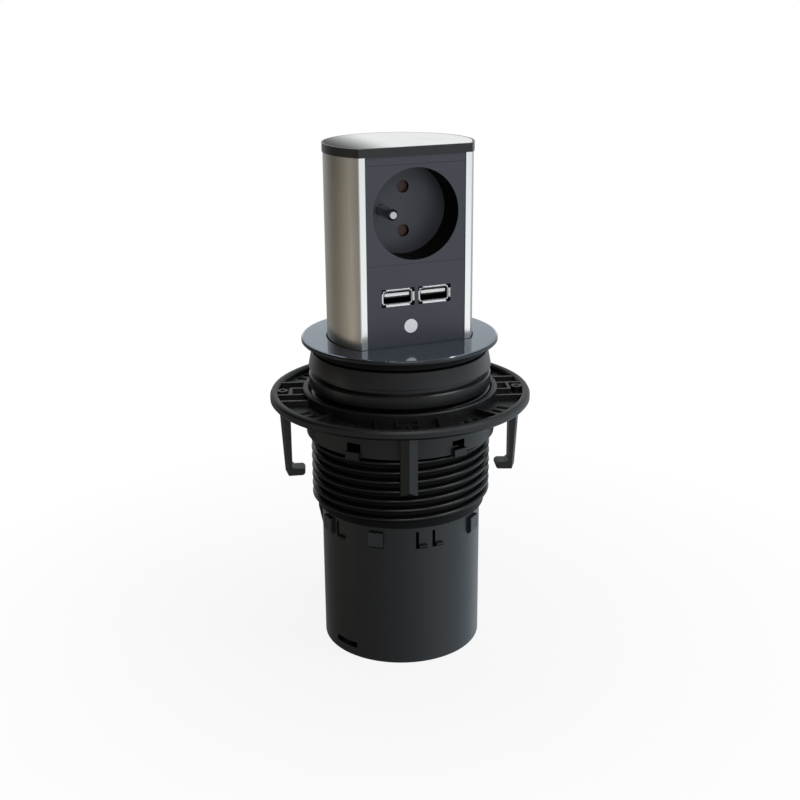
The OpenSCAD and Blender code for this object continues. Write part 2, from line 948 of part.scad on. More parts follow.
module ring_nut() {
  color([0.045, 0.045, 0.047])
    difference() {
      union() {
        rotate_extrude()
          polygon([
            [hub_in, hub_low], [hub_out, hub_low], [hub_out, rim_low], [nut_r - 0.8, rim_low],
            [nut_r, rim_low + 1], [nut_r, rim_top - 1.4], [nut_r - 0.5, rim_top - 0.4],
            [nut_r - 1.3, rim_top], [nut_r - rim_w + 1.2, rim_top], [nut_r - rim_w + 0.4, rim_top - 0.4],
            [nut_r - rim_w, rim_top - 1.2], [nut_r - rim_w, rim_low + floor_t],
            [collar_out, rim_low + floor_t], [collar_out, collar_top - 0.6], [collar_out - 0.6, collar_top],
            [hub_in + 0.6, collar_top], [hub_in, collar_top - 0.6]
          ]);
        nut_ribs();
        for (i = [0 : 3])
          at_angle(hook_angles[i]) {
            hook(i % 2 == 0 ? hook_short : hook_long);
            translate([boss_x, -hook_mid - boss_out, rim_low])
              cylinder(r = boss_r, h = rim_h - 0.4);
            translate([-tooth_w / 2, -hub_in - 0.4, tooth_z(hook_angles[i]) - tooth_h / 2])
              cube([tooth_w, tooth_in + 0.4, tooth_h]);
          }
        for (a = latch_sides, s = [-1, 1])
          at_angle(a + s * latch_angle)
            translate([-latch_w / 2, -hub_out - latch_out, latch_low])
              cube([latch_w, latch_out + hub_wall - 0.2, latch_h]);
      }
      for (a = latch_sides, s = [-1, 1])
        at_angle(a + s * latch_angle)
          translate([-latch_w / 2, -hub_out - 1, latch_low + latch_h])
            cube([latch_w, hub_wall + 2, latch_window_h]);
      for (a = hook_angles)
        at_angle(a) {
          translate([boss_x, -hook_mid - boss_out, rim_low + floor_t])
            cylinder(r = boss_hole_r, h = rim_h);
          translate([-hook_window_w / 2, -hook_window_r - hook_window_d, rim_low - 1])
            cube([hook_window_w, hook_window_d, floor_t + 2]);
          for (t = rim_window_angles)
            at_angle(t)
              translate([-rim_window_w / 2, -nut_r + rim_w + rim_window_in, rim_low - 1])
                cube([rim_window_w, rim_window_d, floor_t + 2]);
        }
    }
}

// Lower tube

// raised pad with a ramp at its lower end, its bottom at height low
module raised_pad(w, low, h, out, ramp) {
  translate([-w / 2, 0, low])
    rotate([90, 0, 90])
      linear_extrude(height = w)
        polygon([
          [1 - tube_r, h], [-tube_r - out, h], [-tube_r - out, ramp], [-tube_r, 0], [1 - tube_r, 0]
        ]);
}

module lower_tube() {
  color([0.07, 0.075, 0.08])
    difference() {
      union() {
        cylinder(r = tube_r, h = tube_top);
        translate([0, 0, tube_h - fit - stop_h])
          cylinder(r = tube_r + stop_out, h = stop_h);
        for (q = [0, 180], a = pad_angles)
          at_angle(q + a)
            raised_pad(pad_w, pad_low, pad_h, pad_out, pad_ramp);
        for (q = [0, 180], a = slit_angles)
          at_angle(q + a)
            raised_pad(foot_w, pad_low, foot_h, pad_out, pad_ramp);
        at_angle(lug_angle)
          raised_pad(lug_w, tube_h - fit - lug_h, lug_h, lug_out, lug_h - lug_flat);
      }
      translate([0, 0, -1])
        cylinder(r = tube_in, h = tube_top + 2);
      for (a = slot_angles)
        at_angle(a)
          translate([-slot_w / 2, -tube_r - 1, slot_z])
            cube([slot_w, tube_wall + 3, slot_h]);
      for (q = [0, 180], a = slit_angles)
        at_angle(q + a)
          translate([-foot_w / 2 - slit_w, -tube_r - 3, pad_low])
            cube([slit_w, 6, slit_h]);
    }
}

module end_cap() {
  side_w = (slot_w - cap_lug_w) / 2;
  color([0.05, 0.05, 0.052])
    difference() {
      union() {
        cylinder(r = tube_in - press_fit, h = end_cap_h);
        for (a = slot_angles)
          at_angle(a)
            translate([-cap_lug_w / 2, cap_lug_sink - tube_r, slot_z + fit])
              cube([cap_lug_w, 4, slot_h - 2 * fit]);
      }
      translate([0, 0, cap_floor_t])
        cylinder(r = tube_in - press_fit - cap_wall, h = end_cap_h);
      for (a = slot_angles, x = [-slot_w / 2, cap_lug_w / 2])
        at_angle(a)
          translate([x, -tube_in - 1, slot_z])
            cube([side_w, 5, slot_h]);
      translate([0, 0, -1])
        cylinder(r = outlet_r + bush_wall + press_fit, h = cap_floor_t + 2);
      for (a = [0 : 60 : 300])
        at_angle(a)
          translate([-1.5, -24, -1])
            cube([3, 9, cap_floor_t + 2]);
    }
}

module cable_bush() {
  color([0.06, 0.06, 0.06])
    difference() {
      union() {
        translate([0, 0, 0.4])
          cylinder(r = outlet_r + bush_wall, h = cap_floor_t + 1.6);
        translate([0, 0, cap_floor_t])
          cylinder(r = outlet_r + bush_wall + 1.85, h = 2);
      }
      translate([0, 0, -1])
        cylinder(r = outlet_r - bush_hole, h = 8);
    }
}

cap_plate();
top_cap();
cap_screws();
profile();
head_strip();
socket_front();
socket_base();
contact_line();
contact_neutral();
earth_pin();
shutter();
shutter_spring();
usb_panel();
usb_shell_left();
usb_shell_right();
usb_tongue_left();
usb_tongue_right();
usb_board();
transformer();
capacitor();
board_screws();
terminal_block();
terminal_screws();
tower_foot();
foot_screws();
guide_pads();
desk_ring();
sleeve();
ring_nut();
lower_tube();
end_cap();
cable_bush();
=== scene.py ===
import json
import math

import bpy
import numpy as np
from mathutils import Matrix, Vector

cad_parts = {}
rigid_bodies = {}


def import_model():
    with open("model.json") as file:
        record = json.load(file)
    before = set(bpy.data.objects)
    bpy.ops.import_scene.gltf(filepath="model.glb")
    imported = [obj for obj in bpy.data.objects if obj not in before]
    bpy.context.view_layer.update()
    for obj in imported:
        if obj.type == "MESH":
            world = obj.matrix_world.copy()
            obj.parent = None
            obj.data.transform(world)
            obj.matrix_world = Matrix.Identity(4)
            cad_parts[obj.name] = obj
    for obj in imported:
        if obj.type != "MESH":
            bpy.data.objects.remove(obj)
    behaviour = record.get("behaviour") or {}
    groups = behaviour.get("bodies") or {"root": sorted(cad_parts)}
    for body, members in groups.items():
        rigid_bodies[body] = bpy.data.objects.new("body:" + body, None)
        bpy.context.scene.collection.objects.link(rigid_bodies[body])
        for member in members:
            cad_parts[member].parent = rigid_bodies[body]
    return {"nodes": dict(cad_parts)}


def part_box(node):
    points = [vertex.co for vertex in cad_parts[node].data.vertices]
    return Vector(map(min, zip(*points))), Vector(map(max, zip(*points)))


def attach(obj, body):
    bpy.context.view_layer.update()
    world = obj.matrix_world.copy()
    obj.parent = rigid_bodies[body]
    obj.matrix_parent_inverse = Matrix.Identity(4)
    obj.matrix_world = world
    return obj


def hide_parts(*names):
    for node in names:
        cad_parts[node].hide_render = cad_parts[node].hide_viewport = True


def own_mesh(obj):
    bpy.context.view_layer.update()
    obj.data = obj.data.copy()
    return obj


mm = 0.001

for leftover in list(bpy.data.objects):  # the start-up cube, lamp and camera
    bpy.data.objects.remove(leftover)
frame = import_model()
nodes = frame["nodes"]
print("stage 1: frame loaded with", len(nodes), "nodes")


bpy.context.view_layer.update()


def linearColour(hexText):  # sRGB hex to linear light
    parts = [int(hexText[i:i + 2], 16) / 255 for i in (1, 3, 5)]
    return tuple(p / 12.92 if p <= 0.04045 else ((p + 0.055) / 1.055) ** 2.4 for p in parts) + (1.0,)


def addNode(tree, kind, values=None, links=None, **settings):  # one node with its settings, values and links
    node = tree.nodes.new(kind)
    for key, value in settings.items():
        setattr(node, key, value)
    for key, value in (values or {}).items():
        node.inputs[key].default_value = value
    for key, source in (links or {}).items():
        tree.links.new(source, node.inputs[key])
    return node


# What a finish has unless it says otherwise: an even, shallow grain on a plastic.
plainGrain = {"metal": 0.0, "stretch": (1, 1, 1), "cloudMm": 14, "bump": 0.2, "bumpMm": 0.02, "extra": {}}


# Every finish has the same graph: a grain stretched along the working direction drives bump,
# roughness and part of the colour, and a broad cloud shifts the colour a little more.
def buildFinish(name, changes):
    spec = {**plainGrain, **changes}
    material = bpy.data.materials.new(name)
    material.use_nodes = True
    tree = material.node_tree
    tree.nodes.clear()
    place = addNode(tree, "ShaderNodeTexCoord").outputs["Object"]
    along = addNode(tree, "ShaderNodeMapping", {"Scale": spec["stretch"]}, {"Vector": place})
    grain = addNode(tree, "ShaderNodeTexNoise", {"Scale": 1 / (spec["grainMm"] * mm), "Detail": 3.0},
                    {"Vector": along.outputs[0]}).outputs[0]
    cloud = addNode(tree, "ShaderNodeTexNoise", {"Scale": 1 / (spec["cloudMm"] * mm), "Detail": 2.0},
                    {"Vector": place}).outputs[0]
    both = addNode(tree, "ShaderNodeMath", {2: 0.0}, {0: grain, 1: cloud}, operation="ADD")
    half = addNode(tree, "ShaderNodeMath", {1: 0.5}, {0: both.outputs[0]}, operation="MULTIPLY")
    shade = addNode(tree, "ShaderNodeMix", {6: linearColour(spec["dark"]), 7: linearColour(spec["light"])},
                    {0: half.outputs[0]}, data_type="RGBA")
    rough = addNode(tree, "ShaderNodeMapRange",
                    {1: 0.3, 2: 0.7, 3: spec["rough"] - spec["spread"], 4: spec["rough"] + spec["spread"]}, {0: grain})
    bump = addNode(tree, "ShaderNodeBump", {"Strength": spec["bump"], "Distance": spec["bumpMm"] * mm},
                   {"Height": grain})
    surface = addNode(tree, "ShaderNodeBsdfPrincipled", {"Metallic": spec["metal"], **spec["extra"]},
                      {"Base Color": shade.outputs[2], "Roughness": rough.outputs[0], "Normal": bump.outputs[0]})
    addNode(tree, "ShaderNodeOutputMaterial", links={"Surface": surface.outputs[0]})
    return material


finishes = {
    # brushed stainless steel: long fine scratches across the plate, so highlights smear
    "brushedStainless": {"dark": "#e8e8e8", "light": "#fdfdfc", "metal": 1.0, "rough": 0.27, "spread": 0.05,
                         "grainMm": 0.9, "stretch": (0.03, 3.0, 1), "bump": 0.12, "bumpMm": 0.01},
    # satin anodised extrusion: fine lines along the die's direction and a warm grey
    "anodisedAluminium": {"dark": "#bab4ac", "light": "#cec9c1", "metal": 1.0, "rough": 0.3, "spread": 0.05,
                          "grainMm": 0.8, "stretch": (2.2, 2.2, 0.03), "bump": 0.1, "bumpMm": 0.01},
    # zinc plated steel screws: bright with a faint cloud
    "zincPlatedSteel": {"dark": "#a9aaac", "light": "#cfd0d2", "metal": 1.0, "rough": 0.32, "spread": 0.08,
                        "grainMm": 0.5},
    # nickel plated steel sheet and pin: nearly mirror bright
    "nickelPlatedSteel": {"dark": "#b4b8bc", "light": "#d4d8dc", "metal": 1.0, "rough": 0.2, "spread": 0.05,
                          "grainMm": 0.6, "bump": 0.08, "bumpMm": 0.01},
    # rolled brass: yellow with a soft gloss
    "rolledBrass": {"dark": "#b58a3c", "light": "#dab766", "metal": 1.0, "rough": 0.3, "spread": 0.06, "grainMm": 0.7},
    # polycarbonate from a spark-eroded mould: an even fine grain that kills the shine
    "texturedPolycarbonate": {"dark": "#31343d", "light": "#3f424b", "rough": 0.42, "spread": 0.05, "grainMm": 0.35,
                              "bump": 0.22, "bumpMm": 0.03, "extra": {"IOR": 1.58}},
    # moulded ABS of the cap and the foot: satin with a faint grain
    "mouldedAbs": {"dark": "#15161a", "light": "#1e1f23", "rough": 0.36, "spread": 0.05, "grainMm": 0.4,
                   "extra": {"IOR": 1.54}},
    # ABS from a polished mould, the side of the desk ring: black and smooth, with no grain to see
    "polishedAbs": {"dark": "#08090b", "light": "#0e0f12", "rough": 0.34, "spread": 0.02, "grainMm": 1.2,
                    "bump": 0.02, "bumpMm": 0.005},
    # nylon from a grained mould: dull enough that its rims don't glare
    "grainedNylon": {"dark": "#040405", "light": "#080809", "rough": 0.46, "spread": 0.05, "grainMm": 0.5,
                     "cloudMm": 9, "extra": {"IOR": 1.55}},
    # matt moulded ABS of the end cap, sunk in the tube: almost no gloss
    "mattAbs": {"dark": "#040405", "light": "#09090a", "rough": 0.7, "spread": 0.05, "grainMm": 0.6,
                "extra": {"Specular IOR Level": 0.12}},
    # glass-filled nylon: satin, with a slight mottling from the fibres
    "filledNylon": {"dark": "#060607", "light": "#0c0c0e", "rough": 0.3, "spread": 0.04, "grainMm": 0.5, "cloudMm": 9,
                    "bump": 0.08, "bumpMm": 0.01, "extra": {"IOR": 1.53}},
    # moulded PVC tube: a little greyer and smoother than the nut
    "mouldedPvc": {"dark": "#0e0f11", "light": "#15171a", "rough": 0.36, "spread": 0.05, "grainMm": 0.6, "cloudMm": 18,
                   "bump": 0.12, "extra": {"IOR": 1.52}},
    # moulded phenolic block behind the outlet: dark grey and dull
    "mouldedPhenolic": {"dark": "#2c2c2f", "light": "#38383b", "rough": 0.5, "spread": 0.05, "grainMm": 0.5},
    # red-brown nylon of the shutter: satin, seen only through the pin holes
    "tintedNylon": {"dark": "#3a1f19", "light": "#50302a", "rough": 0.45, "spread": 0.05, "grainMm": 0.5},
    # moulded PBT of the ports' tongues: blue-black, with a soft sheen
    "mouldedPbt": {"dark": "#0c1014", "light": "#141a20", "rough": 0.35, "spread": 0.05, "grainMm": 0.5},
    # unpainted nylon of the terminal block: off-white and satin
    "paleNylon": {"dark": "#d8d6cd", "light": "#e8e6df", "rough": 0.42, "spread": 0.05, "grainMm": 0.5},
    # lacquered glass laminate of the board: green, and its weave shows as a fine grain
    "lacqueredLaminate": {"dark": "#0f4a2b", "light": "#1a6339", "rough": 0.34, "spread": 0.05, "grainMm": 0.7},
    # polyester tape wound on the core: yellow with long turns
    "woundTape": {"dark": "#b49a2c", "light": "#cfb648", "rough": 0.4, "spread": 0.06, "grainMm": 0.8,
                  "stretch": (1, 1, 5)},
    # shrunk film on the capacitor: blue and glossy
    "shrunkFilm": {"dark": "#1c2450", "light": "#2a3468", "rough": 0.25, "spread": 0.05, "grainMm": 0.8},
    # moulded rubber: dull and slightly dusty
    "mouldedRubber": {"dark": "#161616", "light": "#222222", "rough": 0.72, "spread": 0.08, "grainMm": 0.4},
}

wornBy = {
    "brushedStainless": ["cap_plate"],
    "anodisedAluminium": ["profile"],
    "zincPlatedSteel": ["cap_screws", "foot_screws", "board_screws", "terminal_screws", "shutter_spring"],
    "nickelPlatedSteel": ["usb_shell_left", "usb_shell_right", "earth_pin"],
    "rolledBrass": ["contact_line", "contact_neutral"],
    "texturedPolycarbonate": ["head_strip", "socket_front", "usb_panel"],
    "mouldedAbs": ["top_cap", "tower_foot"],
    "mattAbs": ["end_cap"],
    "polishedAbs": ["desk_ring"],
    "filledNylon": ["sleeve"],
    "grainedNylon": ["ring_nut"],
    "mouldedPvc": ["lower_tube"],
    "mouldedPhenolic": ["socket_base"],
    "tintedNylon": ["shutter"],
    "mouldedPbt": ["usb_tongue_left", "usb_tongue_right"],
    "paleNylon": ["terminal_block"],
    "lacqueredLaminate": ["usb_board"],
    "woundTape": ["transformer"],
    "shrunkFilm": ["capacitor"],
    "mouldedRubber": ["guide_pads", "cable_bush"],
}

materials = {name: buildFinish(name, changes) for name, changes in finishes.items()}
for name, wearers in wornBy.items():
    for wearer in wearers:
        nodes[wearer].data.materials.clear()
        nodes[wearer].data.materials.append(materials[name])


def copyFinish(name, newName, *wearers):  # a finish of its own for some nodes, to be repainted
    copied = materials[name].copy()
    copied.name = newName
    for wearer in wearers:
        nodes[wearer].data.materials[0] = copied
    return copied


def surfaceOf(material):  # the shader that the finish ends in
    return next(n for n in material.node_tree.nodes if n.type == "BSDF_PRINCIPLED")


# What a mask goes by: a coordinate in metres, the distance from the upright axis in metres, or how far the
# surface faces along an axis, from minus one to one.
def measure(tree, kind, axis):
    if kind == "facing":
        normal = addNode(tree, "ShaderNodeNewGeometry").outputs["Normal"]
        return addNode(tree, "ShaderNodeSeparateXYZ", links={0: normal}).outputs[axis]
    spot = addNode(tree, "ShaderNodeTexCoord").outputs["Object"]
    if kind == "place":
        return addNode(tree, "ShaderNodeSeparateXYZ", links={0: spot}).outputs[axis]
    level = addNode(tree, "ShaderNodeVectorMath", {1: (1, 1, 0)}, {0: spot}, operation="MULTIPLY").outputs[0]
    return addNode(tree, "ShaderNodeVectorMath", links={0: level}, operation="LENGTH").outputs["Value"]


def maskWhere(material, kind, axis, limit, above=True):  # one where the measure is past the limit
    tree = material.node_tree
    past = "GREATER_THAN" if above else "LESS_THAN"
    return addNode(tree, "ShaderNodeMath", {1: limit}, {0: measure(tree, kind, axis)}, operation=past).outputs[0]


# Repainting gives a finish another colour where the mask is one, and another roughness, metal or gloss if the
# paint says so. Each is blended over what the finish had there.
def repaint(material, mask, paint):
    tree, surface = material.node_tree, surfaceOf(material)
    colourIn = surface.inputs["Base Color"].links[0].from_socket
    shade = addNode(tree, "ShaderNodeMix", {7: linearColour(paint["colour"])}, {0: mask, 6: colourIn}, data_type="RGBA")
    tree.links.new(shade.outputs[2], surface.inputs["Base Color"])
    for key, name in (("rough", "Roughness"), ("metal", "Metallic"), ("gloss", "Specular IOR Level")):
        if key in paint:
            target = surface.inputs[name]
            amount = addNode(tree, "ShaderNodeMix", {2: target.default_value, 3: paint[key]}, {0: mask})
            if target.links:
                tree.links.new(target.links[0].from_socket, amount.inputs[2])
            tree.links.new(amount.outputs[0], target)


# The front of the extrusion is machined and polished, so its two lips are smoother and paler than its round side.
lips = {"colour": "#fafaf8", "rough": 0.2, "depthMm": 0.4}
alloy = materials["anodisedAluminium"]
repaint(alloy, maskWhere(alloy, "place", "Y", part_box("profile")[0].y + lips["depthMm"] * mm, above=False), lips)

# The top of the desk ring is hard plated over the gloss, so it mirrors what stands on it. Its neck, in the shade under
# the rim, gets painted shade: darker and duller.
ringSkin = {"facing": 0.9, "thickMm": 2.4, "plating": {"colour": "#8e98a4", "rough": 0.08, "metal": 0.85},
            "neck": {"colour": "#060607", "rough": 0.6, "gloss": 0.2}}
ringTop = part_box("desk_ring")[1].z
skin = materials["polishedAbs"]
repaint(skin, maskWhere(skin, "facing", "Z", ringSkin["facing"]), ringSkin["plating"])
repaint(skin, maskWhere(skin, "place", "Z", ringTop - ringSkin["thickMm"] * mm, above=False), ringSkin["neck"])

# The port shells have a painted white highlight at the mouth, plain nickel just behind it, and painted shade inside,
# dull and dark, where no light reaches.
# The tongues have a white front.
ports = {"rimMm": 1.0, "inside": {"colour": "#0e1418", "rough": 0.6},
         "brightMm": 0.45, "mouth": {"colour": "#ffffff", "rough": 0.35, "metal": 0.15},
         "tongueMm": 2.1, "tongueFront": {"colour": "#ffffff", "rough": 0.4}}
shell = copyFinish("nickelPlatedSteel", "nickelShellPaintedLight", "usb_shell_left", "usb_shell_right")
tongue = materials["mouldedPbt"]
shellFront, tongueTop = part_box("usb_shell_left")[0].y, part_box("usb_tongue_left")[1].z
repaint(shell, maskWhere(shell, "place", "Y", shellFront + ports["rimMm"] * mm), ports["inside"])
repaint(shell, maskWhere(shell, "place", "Y", shellFront + ports["brightMm"] * mm, above=False), ports["mouth"])
repaint(tongue, maskWhere(tongue, "place", "Z", tongueTop - ports["tongueMm"] * mm), ports["tongueFront"])

# The tube's raised pads are paler than the rest of the tube.
pads = {"colour": "#26282c", "rough": 0.42, "fromMm": 37.9}
tube = materials["mouldedPvc"]
repaint(tube, maskWhere(tube, "reach", None, pads["fromMm"] * mm), pads)

# Painted reflection on the steel plate: its brushing runs from side to side, and its left end is painted grey, with a
# greyer specular tint, to stand in for a dark reflection there.
paintedGreyReflection = {"colour": "#7c7d7d", "edge": "#6a6b6b", "fromMm": -34, "toMm": -6}
steel = materials["brushedStainless"]
greyReflectionMask = addNode(steel.node_tree, "ShaderNodeMapRange", {1: paintedGreyReflection["toMm"] * mm, 2: paintedGreyReflection["fromMm"] * mm},
                  {0: measure(steel.node_tree, "place", "X")}, interpolation_type="SMOOTHSTEP").outputs[0]
repaint(steel, greyReflectionMask, paintedGreyReflection)
edgeShade = addNode(steel.node_tree, "ShaderNodeMix", {6: linearColour("#ffffff"), 7: linearColour(paintedGreyReflection["edge"])},
                    {0: greyReflectionMask}, data_type="RGBA")
steel.node_tree.links.new(edgeShade.outputs[2], surfaceOf(steel).inputs["Specular Tint"])

# The wall of the plug recess faces sideways and lies in shade, so it gets painted shade: dull and nearly black.
recess = {"colour": "#030304", "rough": 0.6, "gloss": 0.08, "facing": 0.5}
recessShade = copyFinish("texturedPolycarbonate", "recessShadePolycarbonate", "socket_front")
towards = addNode(recessShade.node_tree, "ShaderNodeMath", links={0: measure(recessShade.node_tree, "facing", "Y")},
                  operation="ABSOLUTE").outputs[0]
sideways = addNode(recessShade.node_tree, "ShaderNodeMath", {1: recess["facing"]}, {0: towards}, operation="LESS_THAN")
repaint(recessShade, sideways.outputs[0], recess)

# The lower face has painted shade in the pockets round the ports, dark and dull, and a pale print: a plain round spot
# where the photo has a symbol.
pocketShade = {"colour": "#060708", "rough": 0.6, "gloss": 0.1, "fromMm": 0.25}
dot = {"colour": "#fafbfc", "radiusMm": 3.05, "xMm": -2.6, "aboveRingMm": 8.7}
printAndShade = copyFinish("texturedPolycarbonate", "printedShadedPolycarbonate", "usb_panel")
tree = printAndShade.node_tree
repaint(printAndShade, maskWhere(printAndShade, "place", "Y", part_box("usb_panel")[0].y + pocketShade["fromMm"] * mm), pocketShade)
place = addNode(tree, "ShaderNodeTexCoord").outputs["Object"]
dotPlace = {"Location": (-dot["xMm"] * mm, 0, -ringTop - dot["aboveRingMm"] * mm), "Scale": (1, 0, 1)}
fromDot = addNode(tree, "ShaderNodeMapping", dotPlace, {"Vector": place})
reach = addNode(tree, "ShaderNodeVectorMath", links={0: fromDot.outputs[0]}, operation="LENGTH").outputs["Value"]
inDot = addNode(tree, "ShaderNodeMath", {1: dot["radiusMm"] * mm}, {0: reach}, operation="LESS_THAN").outputs[0]
repaint(printAndShade, inDot, dot)
print("stage 2: finishes on every node")


def addMesh(name, points, faces, sharpDeg=38):  # a smooth mesh with sharp edges past that angle
    data = bpy.data.meshes.new(name)
    data.from_pydata(points, [], faces)
    data.update()
    data.polygons.foreach_set("use_smooth", np.ones(len(data.polygons), bool))
    data.set_sharp_from_angle(angle=math.radians(sharpDeg))
    piece = bpy.data.objects.new(name, data)
    bpy.context.scene.collection.objects.link(piece)
    return piece


# The sleeve with a rounded thread. Columns stand at equal angles, and each climbs by pitch times its share
# of a turn, so that the last column meets the first one a turn higher: height = low + pitch * (turn + share) + rise.
thread = {"columns": 180, "turns": 12, "steps": 14, "pitchMm": 4.4, "crestMm": 41.0, "rootMm": 38.6, "lowMm": 68.6,
          "baseMm": 2.6, "squareness": 2.1, "boreMm": 34.9, "socketMm": 36.75, "socketHighMm": 7.0, "sharpDeg": 30}
sleeveLow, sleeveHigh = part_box("sleeve")[0].z / mm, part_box("sleeve")[1].z / mm
columns, root, crest, bore = thread["columns"], thread["rootMm"], thread["crestMm"], thread["boreMm"]
perTurn = thread["steps"] + 1
rowCount = perTurn * thread["turns"] + 1
lastRow = rowCount - 1
# A ridge is half a squared ellipse: rise = half base * (1 - cosine to the power 2 / squareness), and it stands out
# by its height times the sine to the same power, while the angle runs through half a turn.
sweep = np.pi * np.arange(perTurn) / thread["steps"]
power = 2 / thread["squareness"]
rise = thread["baseMm"] / 2 * (1 - np.sign(np.cos(sweep)) * np.abs(np.cos(sweep)) ** power)
radius = root + (crest - root) * np.abs(np.sin(sweep)) ** power


def threadPoints(column, row):  # radius and rise repeat each turn, and the height climbs along the helix
    angle = 2 * np.pi * column / columns
    step = row % perTurn
    height = thread["lowMm"] + thread["pitchMm"] * (row // perTurn + column / columns) + rise[step]
    return np.stack([radius[step] * np.cos(angle), radius[step] * np.sin(angle), height], -1)


def threadIndex(column, row):  # the column after the last is the first one, a turn further up
    wrapped = row + perTurn
    last = np.where(wrapped < rowCount, wrapped, columns * rowCount + wrapped - rowCount)
    return np.where(column < columns, column * rowCount + row, last)


ringColumn = np.arange(columns)
nextColumn = (ringColumn + 1) % columns


def circlePoints(radiusMm, heightMm):
    angle = 2 * np.pi * ringColumn / columns
    return np.stack([radiusMm * np.cos(angle), radiusMm * np.sin(angle), np.full(columns, heightMm)], -1)


def turnedFaces(first, circles, closed):  # quads between neighbouring circles, and from the last to the first if closed
    near = np.arange(circles if closed else circles - 1)[:, None] * columns
    far = (near + columns) % (circles * columns)
    quads = np.stack([near + ringColumn, near + nextColumn, far + nextColumn, far + ringColumn], -1)
    return quads.reshape(-1, 4) + first


columnGrid, rowGrid = np.meshgrid(ringColumn, np.arange(rowCount), indexing="ij")
turnPoints = threadPoints(columnGrid, rowGrid).reshape(-1, 3)
extraPoints = threadPoints(np.zeros(perTurn, int), rowCount + np.arange(perTurn))
sideColumn, sideRow = (grid.ravel() for grid in np.meshgrid(ringColumn, np.arange(lastRow), indexing="ij"))
sides = np.stack([threadIndex(sideColumn, sideRow), threadIndex(sideColumn + 1, sideRow),
                  threadIndex(sideColumn + 1, sideRow + 1), threadIndex(sideColumn, sideRow + 1)], -1)

# Above the thread stand a plain collar, a groove and the band, each a closed profile turned round the axis.
collar = {"lowMm": 124.2, "highMm": 129.8, "sinkMm": 0.5, "bevelMm": 0.3, "fallMm": 0.6, "fallInMm": 0.5}
band = {"highMm": 7.8, "lowMm": 132.6, "radiusMm": 41.1, "topMm": 39.8, "bevelMm": 0.25, "faceMm": 0.6,
        "lipHighMm": 140.2, "lipBevelMm": 0.3, "lipBoreMm": 37.3}
barrelHigh, socket, socketHigh = sleeveHigh - band["highMm"], thread["socketMm"], sleeveLow + thread["socketHighMm"]
barrelProfile = [(root, sleeveLow), (socket, sleeveLow), (socket, socketHigh), (bore, socketHigh), (bore, barrelHigh),
                 (root, barrelHigh)]
bandLow, bandWide, lipHigh, lipBevel = band["lowMm"], band["radiusMm"], band["lipHighMm"], band["lipBevelMm"]
bandProfile = [(bore, barrelHigh), (root, barrelHigh), (root, bandLow), (bandWide - band["bevelMm"], bandLow),
               (bandWide, bandLow + band["bevelMm"]), (bandWide, bandLow + band["faceMm"]),
               (band["topMm"], lipHigh - lipBevel), (band["topMm"] - lipBevel, lipHigh), (band["lipBoreMm"], lipHigh),
               (band["lipBoreMm"], sleeveHigh), (bore, sleeveHigh)]
collarProfile = [(root - collar["sinkMm"], collar["lowMm"]), (crest - collar["bevelMm"], collar["lowMm"]),
                 (crest, collar["lowMm"] + collar["bevelMm"]), (crest, collar["highMm"] - collar["fallMm"]),
                 (crest - collar["fallInMm"], collar["highMm"]), (root - collar["sinkMm"], collar["highMm"])]
profiles = [(barrelProfile, False), (bandProfile, True), (collarProfile, True)]
firsts = len(turnPoints) + len(extraPoints) + columns * np.cumsum([0] + [len(profile) for profile, closed in profiles])
turnedPoints = [circlePoints(r, z) for profile, closed in profiles for r, z in profile]
turned = [turnedFaces(first, len(profile), closed) for first, (profile, closed) in zip(firsts, profiles)]

# Skirts join the thread's lowest and highest rows to the barrel's rims, and four odd faces close its blunt ends.
lowRim, highRim = firsts[0], firsts[0] + (len(barrelProfile) - 1) * columns
firstRows, lastRows = np.zeros(columns - 1, int), np.full(columns - 1, lastRow)
left, right = ringColumn[:-1], ringColumn[1:]
lowSkirt = np.stack([lowRim + left, lowRim + right, threadIndex(right, firstRows), threadIndex(left, firstRows)], -1)
highSkirt = np.stack([threadIndex(right, lastRows), threadIndex(right + 1, lastRows),
                      highRim + (right + 1) % columns, highRim + right], -1)
startFace = [threadIndex(0, k) for k in range(perTurn)][::-1]
endFace = [threadIndex(columns, lastRow - perTurn + k) for k in range(1, perTurn)] + [threadIndex(0, lastRow)]
seamLow = [lowRim + columns - 1, lowRim, threadIndex(0, 0), threadIndex(0, perTurn - 1), threadIndex(0, perTurn),
           threadIndex(columns - 1, 0)]
seamHigh = [threadIndex(0, lastRow), threadIndex(1, lastRow), highRim + 1, highRim, threadIndex(columns, lastRow),
            threadIndex(columns, lastRow - 1)]
oddFaces = [[int(corner) for corner in face] for face in (startFace, endFace, seamLow, seamHigh)]
sleevePoints = np.concatenate([turnPoints, extraPoints] + turnedPoints) * mm
sleeveFaces = np.concatenate([sides, lowSkirt, highSkirt] + turned).tolist() + oddFaces
sleevePiece = addMesh("threadedSleeve", sleevePoints.tolist(), sleeveFaces, thread["sharpDeg"])

# Painted shade on the thread: faces that look down, and the valleys, are painted darker and duller than the ridges'
# upper sides.
threadShade = {"colour": "#050506", "rough": 0.5, "gloss": 0.14, "fromFacing": 0.35, "toFacing": -0.5, "valleyMm": 38.9}
shadedThread = copyFinish("filledNylon", "shadedThreadNylon")
tree = shadedThread.node_tree
downward = addNode(tree, "ShaderNodeMapRange", {1: threadShade["fromFacing"], 2: threadShade["toFacing"]},
                   {0: measure(tree, "facing", "Z")}).outputs[0]
inValley = maskWhere(shadedThread, "reach", None, threadShade["valleyMm"] * mm, above=False)
belowCollar = maskWhere(shadedThread, "place", "Z", collar["lowMm"] * mm, above=False)
either = addNode(tree, "ShaderNodeMath", links={0: downward, 1: inValley}, operation="MAXIMUM").outputs[0]
threadShadeMask = addNode(tree, "ShaderNodeMath", links={0: either, 1: belowCollar}, operation="MULTIPLY").outputs[0]
repaint(shadedThread, threadShadeMask, threadShade)
sleevePiece.data.materials.append(shadedThread)
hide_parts("sleeve")
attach(sleevePiece, "housing")
print("stage 3: threaded sleeve with", len(sleeveFaces), "faces")
